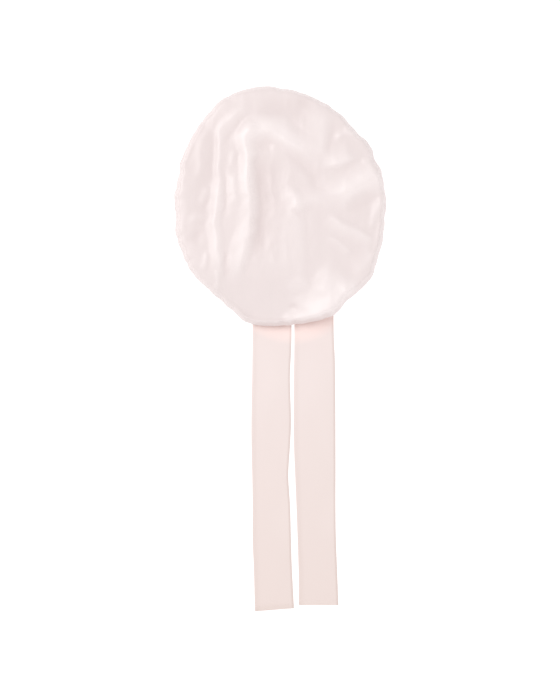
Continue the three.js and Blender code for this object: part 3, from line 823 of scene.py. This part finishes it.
def add_node(nodes, kind, settings=(), **values):
    """A node with its settings and the values of its sockets."""
    node = nodes.new(kind)
    for key, value in dict(settings).items():
        setattr(node, key, value)
    for key, value in values.items():
        node.inputs[key.replace("_", " ")].default_value = value
    return node


def join(material, start, start_socket, end, end_socket):
    material.node_tree.links.new(start.outputs[start_socket], end.inputs[end_socket])


def color_ramp(nodes, rows):
    """A ramp of colours, each row a position and its colour."""
    ramp = add_node(nodes, "ShaderNodeValToRGB")
    shades = ramp.color_ramp.elements
    for number, (position, color) in enumerate(rows):
        shade = shades[number] if number < 2 else shades.new(position)
        shade.position = position
        shade.color = (*color, 1)
    return ramp


# %% Threads and crinkles, shared by the crown and the ribbons
def thread_bump(material, nodes, cloth_map, shader, crinkle_size, crinkle_strength):
    """Fine threads across the flat cloth, and crinkles over them, as one surface normal."""
    flat_place = add_node(nodes, "ShaderNodeUVMap", {"uv_map": cloth_map})
    thread_scale = add_node(nodes, "ShaderNodeMapping", Scale=(1, 0.04, 1))
    threads = add_node(nodes, "ShaderNodeTexNoise", Scale=2600, Detail=2, Roughness=0.6)
    crinkle_scale = add_node(nodes, "ShaderNodeMapping", Scale=(1, 0.5, 1))
    crinkles = add_node(nodes, "ShaderNodeTexNoise", {"noise_type": "RIDGED_MULTIFRACTAL"},
                        Scale=1 / crinkle_size, Detail=3, Roughness=0.45, Distortion=0.6)
    thread_relief = add_node(nodes, "ShaderNodeBump", Strength=0.12, Distance=0.1 * MM)
    crinkle_relief = add_node(nodes, "ShaderNodeBump", Strength=crinkle_strength, Distance=1 * MM)
    join(material, flat_place, "UV", thread_scale, "Vector")
    join(material, thread_scale, "Vector", threads, "Vector")
    join(material, flat_place, "UV", crinkle_scale, "Vector")
    join(material, crinkle_scale, "Vector", crinkles, "Vector")
    join(material, threads, "Fac", thread_relief, "Height")
    join(material, crinkles, "Fac", crinkle_relief, "Height")
    join(material, thread_relief, "Normal", crinkle_relief, "Normal")
    join(material, crinkle_relief, "Normal", shader, "Normal")
    return crinkles


# %% Blush satin of the crown, with painted shade in its hollows and on its rim, and painted light on its crests
MULTIPLIER, ADDEND = 1, 2
# From painted shade in the hollows to painted light on the crests
PAINTED_HOLLOW_SHADE_TO_CREST_LIGHT = ((0, (0.735, 0.63, 0.62)), (1, (0.88, 0.79, 0.78)))


def crown_satin():
    material, nodes, shader = new_material("crown_satin")
    shader.inputs["Roughness"].default_value = 0.42
    shader.inputs["Specular IOR Level"].default_value = 0.66
    shader.inputs["Sheen Weight"].default_value = 0.05
    shader.inputs["Sheen Roughness"].default_value = 0.4
    thread_bump(material, nodes, "cut", shader, 24 * MM, 0.2)
    fold_place = add_node(nodes, "ShaderNodeAttribute", {"attribute_name": "painted_fold_shade_and_light"})
    tint = color_ramp(nodes, PAINTED_HOLLOW_SHADE_TO_CREST_LIGHT)
    shift = add_node(nodes, "ShaderNodeMath", {"operation": "MULTIPLY_ADD"})
    shift.inputs[MULTIPLIER].default_value = 0.5
    shift.inputs[ADDEND].default_value = 0.5
    join(material, fold_place, "Fac", shift, "Value")
    join(material, shift, "Value", tint, "Fac")
    join(material, tint, "Color", shader, "Base Color")
    return material


# %% Puckered satin of the band
BAND_MOTTLE = ((0, (0.80, 0.69, 0.67)), (1, (0.88, 0.78, 0.76)))


def band_satin():
    material, nodes, shader = new_material("band_satin")
    shader.inputs["Roughness"].default_value = 0.45
    shader.inputs["Sheen Weight"].default_value = 0.15
    place = add_node(nodes, "ShaderNodeTexCoord")
    mottle = add_node(nodes, "ShaderNodeTexNoise", Scale=120, Detail=3, Roughness=0.5)
    tint = color_ramp(nodes, BAND_MOTTLE)
    relief = add_node(nodes, "ShaderNodeBump", Strength=0.3, Distance=0.4 * MM)
    join(material, place, "Object", mottle, "Vector")
    join(material, mottle, "Fac", tint, "Fac")
    join(material, tint, "Color", shader, "Base Color")
    join(material, mottle, "Fac", relief, "Height")
    join(material, relief, "Normal", shader, "Normal")
    return material


# %% [markdown]
# ## The ribbons' satin
# The ribbons are a softer satin. Beside the crown they are painted pinker and lighter, as painted light
# that reaches them through the blush cloth. Towards the hem the colour gets darker, the turned edges carry
# painted shade, most at the right edge, and where the crinkles are low there is a little painted shade too.
# These are all in the colour here, as ramps along and across the ribbon's own map, multiplied together.

# %% Softer satin of the ribbons: position and colour, along the ribbon and across it
# Painted light, pinker and lighter, just past the crown's rim; then darker towards the hem
RIBBON_ALONG_PAINTED_LIGHT = (
    (0.165, (1, 0.82, 0.785)),
    (0.2, (0.875, 0.765, 0.745)),
    (0.975, (0.86, 0.735, 0.7)),
    (1, (0.82, 0.69, 0.65)),
)
# Painted shade along both turned edges, darkest in a thin line at the right edge
RIBBON_PAINTED_EDGE_SHADE = (
    (0, (1, 0.98, 0.98)),
    (0.05, (0.955, 0.945, 0.94)),
    (0.16, (1, 1, 1)),
    (0.93, (1, 1, 1)),
    (0.985, (0.88, 0.85, 0.83)),
)
# Painted shade where the crinkles are low
PAINTED_CRINKLE_SHADE = ((0, (0.97, 0.965, 0.96)), (1, (1, 1, 1)))
MIX_RESULT, MIX_FIRST, MIX_SECOND = 2, 6, 7


def multiply(material, nodes, first, first_socket, second, second_socket):
    product = add_node(nodes, "ShaderNodeMix", {"data_type": "RGBA", "blend_type": "MULTIPLY"}, Factor=1)
    join(material, first, first_socket, product, MIX_FIRST)
    join(material, second, second_socket, product, MIX_SECOND)
    return product


def ribbon_satin():
    material, nodes, shader = new_material("ribbon_satin")
    shader.inputs["Roughness"].default_value = 0.5
    shader.inputs["Sheen Weight"].default_value = 0.15
    shader.inputs["Sheen Roughness"].default_value = 0.4
    crinkles = thread_bump(material, nodes, "ribbon", shader, 50 * MM, 0.1)
    place = add_node(nodes, "ShaderNodeUVMap", {"uv_map": "ribbon"})
    split = add_node(nodes, "ShaderNodeSeparateXYZ")
    along = add_node(nodes, "ShaderNodeMapRange")
    along.inputs["From Max"].default_value = LEFT_TIE_LENGTH
    across = add_node(nodes, "ShaderNodeMapRange")
    across.inputs["From Min"].default_value = 0.5 * RIBBON_WIDTH
    across.inputs["From Max"].default_value = 1.5 * RIBBON_WIDTH
    length_tint_and_painted_light = color_ramp(nodes, RIBBON_ALONG_PAINTED_LIGHT)
    painted_edge_shade = color_ramp(nodes, RIBBON_PAINTED_EDGE_SHADE)
    painted_crinkle_shade = color_ramp(nodes, PAINTED_CRINKLE_SHADE)
    join(material, place, "UV", split, "Vector")
    join(material, split, "Y", along, "Value")
    join(material, split, "X", across, "Value")
    join(material, along, "Result", length_tint_and_painted_light, "Fac")
    join(material, across, "Result", painted_edge_shade, "Fac")
    join(material, crinkles, "Fac", painted_crinkle_shade, "Fac")
    edged = multiply(material, nodes, length_tint_and_painted_light, "Color", painted_edge_shade, "Color")
    dappled = multiply(material, nodes, edged, MIX_RESULT, painted_crinkle_shade, "Color")
    join(material, dappled, MIX_RESULT, shader, "Base Color")
    return material


# %% Thread of the stitches
THREAD_TWIST = ((0, (0.80, 0.68, 0.65)), (1, (0.90, 0.81, 0.79)))


def sewing_thread():
    material, nodes, shader = new_material("sewing_thread")
    shader.inputs["Roughness"].default_value = 0.55
    place = add_node(nodes, "ShaderNodeTexCoord")
    twist = add_node(nodes, "ShaderNodeTexWave", {"bands_direction": "DIAGONAL"}, Scale=1400, Distortion=0.5)
    tint = color_ramp(nodes, THREAD_TWIST)
    relief = add_node(nodes, "ShaderNodeBump", Strength=0.4, Distance=0.1 * MM)
    join(material, place, "Object", twist, "Vector")
    join(material, twist, "Fac", tint, "Fac")
    join(material, tint, "Color", shader, "Base Color")
    join(material, twist, "Fac", relief, "Height")
    join(material, relief, "Normal", shader, "Normal")
    return material


# %% Dress the pieces
crown.data.materials.append(crown_satin())
band.data.materials.append(band_satin())
ribbon_material = ribbon_satin()
for tie_piece in (left_tie, right_tie):
    tie_piece.data.materials.append(ribbon_material)
thread = sewing_thread()
for stitches in (hem_stitches, casing_stitches):
    stitches.data.materials.append(thread)
print("finishes:", sorted(material.name for material in bpy.data.materials if material.users))

# %% [markdown]
# ## Floor and light
# The photo is almost shadowless. So there is a white room, a large soft light from the upper left that
# draws the folds, and two weaker fills: one from the right for the far rim, and a broad one from the
# ties' side. The floor glows, so that it stays white beside the cloth as it does in the photo.

# %% Floor
FLOOR_SIZE = 40
FLOOR_LEVEL = -0.1 * MM
FLOOR_GREY = 0.4
FLOOR_GLOW = 0.8

floor_mesh = bmesh.new()
bmesh.ops.create_grid(floor_mesh, x_segments=1, y_segments=1, size=FLOOR_SIZE / 2,
                      matrix=Matrix.Translation((0, 0, FLOOR_LEVEL)))
floor = piece_from("studio_floor", floor_mesh)
floor_material, _, floor_shader = new_material("studio_floor")
floor_shader.inputs["Base Color"].default_value = (FLOOR_GREY, FLOOR_GREY, FLOOR_GREY, 1)
floor_shader.inputs["Roughness"].default_value = 0.9
floor_shader.inputs["Specular IOR Level"].default_value = 0
floor_shader.inputs["Emission Color"].default_value = (1, 1, 1, 1)
floor_shader.inputs["Emission Strength"].default_value = FLOOR_GLOW
floor.data.materials.append(floor_material)

# %% Soft studio light: places in metres, sizes across in metres, power in watts
Lamp = namedtuple("Lamp", "name place aim size power")
LAMPS = (
    Lamp("key", (-1.2, 0.7, 1.75), (0, 0.1, 0), 1.5, 23),
    Lamp("side_fill", (1.9, 0.5, 0.9), (0, 0, 0), 1.0, 7),
    Lamp("low_fill", (0.5, -2.1, 0.6), (0, 0, 0), 2.2, 13),
)
ROOM_LIGHT = 0.64

world = bpy.data.worlds.new("white_room")
world.use_nodes = True
world.node_tree.nodes["Background"].inputs["Color"].default_value = (1, 1, 1, 1)
world.node_tree.nodes["Background"].inputs["Strength"].default_value = ROOM_LIGHT
bpy.context.scene.world = world


def soft_light(lamp):
    data = bpy.data.lights.new(lamp.name, "AREA")
    data.shape = "DISK"
    data.size = lamp.size
    data.energy = lamp.power
    light = bpy.data.objects.new(lamp.name, data)
    light.location = lamp.place
    light.rotation_euler = (Vector(lamp.aim) - Vector(lamp.place)).to_track_quat("-Z", "Y").to_euler()
    bpy.context.scene.collection.objects.link(light)


for lamp in LAMPS:
    soft_light(lamp)
bpy.context.scene.view_settings.view_transform = "Standard"
print("lamps:", [lamp.name for lamp in LAMPS])

# %% [markdown]
# ## Who is who
# Every piece rides on the cap's one body. Crown, band and ribbons each stand for a plain solid, and the
# stitches stand for none. The crown is a gathered sheet, and the size of its flat cut is printed; the
# ribbons are sheets that are laid flat.

# %% Tie the pieces to the model
for piece, node, slot in (
    (crown, "crown", "crown_satin"),
    (band, "band", "band_casing"),
    (left_tie, "tie_left", "tie_ribbon"),
    (right_tie, "tie_right", "tie_ribbon"),
):
    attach(piece, "root")
    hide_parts(node)

for stitches, slot in ((hem_stitches, "tie_ribbon"), (casing_stitches, "band_casing")):
    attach(stitches, "root")

print("flat cut of the crown, square metres:", round(pi * CUT_RADIUS ** 2, 4))
